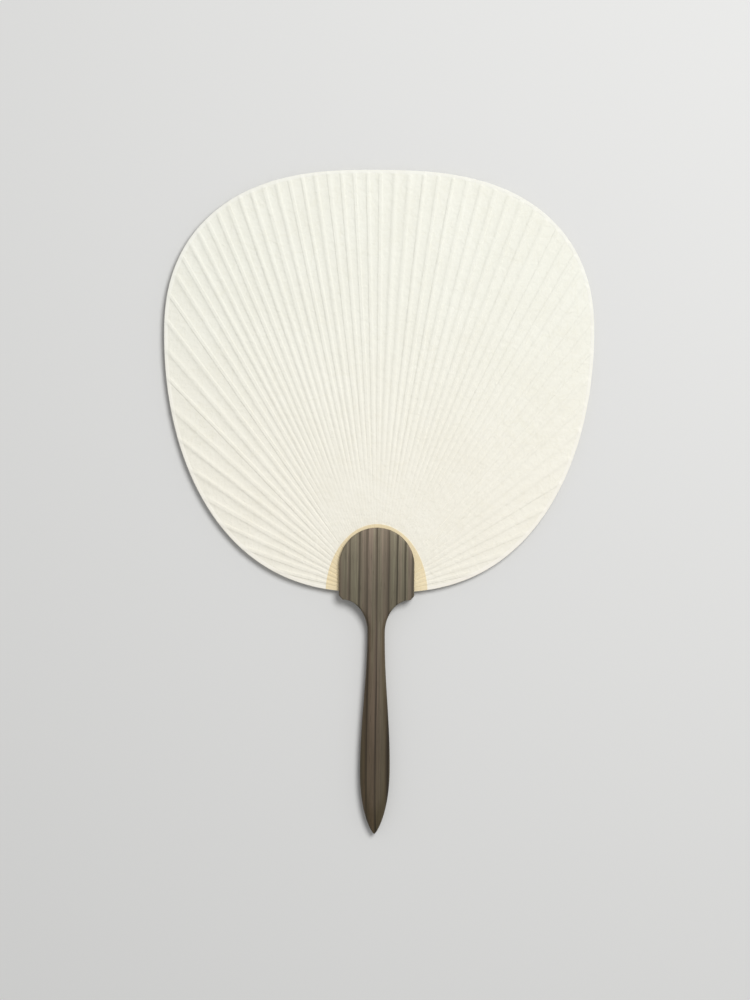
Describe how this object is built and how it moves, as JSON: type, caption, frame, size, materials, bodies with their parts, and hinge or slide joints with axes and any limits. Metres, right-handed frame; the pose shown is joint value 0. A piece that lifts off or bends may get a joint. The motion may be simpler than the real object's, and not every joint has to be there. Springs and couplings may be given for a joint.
{
  "type": "round paper fan",
  "caption": "Rigid round fan with a leaf of bamboo ribs between two sheets of white paper, set in the slot of a slim dark wooden handle.",
  "frame": {"origin": "on the flat back of the handle's head, under the point where the lines of the ribs meet; the fan lies on its back on the plane z = 0", "axes": "+X to the right across the leaf, +Y from the handle to the top of the leaf, +Z out of the front face"},
  "size_m": [0.2402, 0.3711, 0.008],
  "materials": {
    "dark_wood": "straight-grained dark brown wood, smoothed, matt",
    "washi": "cream white fibrous paper, matt",
    "rim_paper": "cream white paper strip, matt",
    "tan_paper": "pale tan paper, matt",
    "bamboo": "split bamboo, matt"
  },
  "bodies": {
    "root": {"handle": "dark_wood", "front_paper": "washi", "back_paper": "washi", "edge_binding": "rim_paper", "front_root_cover": "tan_paper", "back_root_cover": "tan_paper", "rib_centre": "bamboo", "rib_pair_01": "bamboo", "rib_pair_02": "bamboo", "rib_pair_03": "bamboo", "rib_pair_04": "bamboo", "rib_pair_05": "bamboo", "rib_pair_06": "bamboo", "rib_pair_07": "bamboo", "rib_pair_08": "bamboo", "rib_pair_09": "bamboo", "rib_pair_10": "bamboo", "rib_pair_11": "bamboo", "rib_pair_12": "bamboo", "rib_pair_13": "bamboo", "rib_pair_14": "bamboo", "rib_pair_15": "bamboo", "rib_pair_16": "bamboo", "rib_pair_17": "bamboo", "rib_pair_18": "bamboo", "rib_pair_19": "bamboo", "rib_pair_20": "bamboo", "rib_pair_21": "bamboo", "rib_pair_22": "bamboo", "rib_pair_23": "bamboo", "rib_pair_24": "bamboo", "rib_pair_25": "bamboo", "rib_pair_26": "bamboo", "rib_pair_27": "bamboo", "rib_pair_28": "bamboo", "rib_pair_29": "bamboo"}
  },
  "joints": []
}
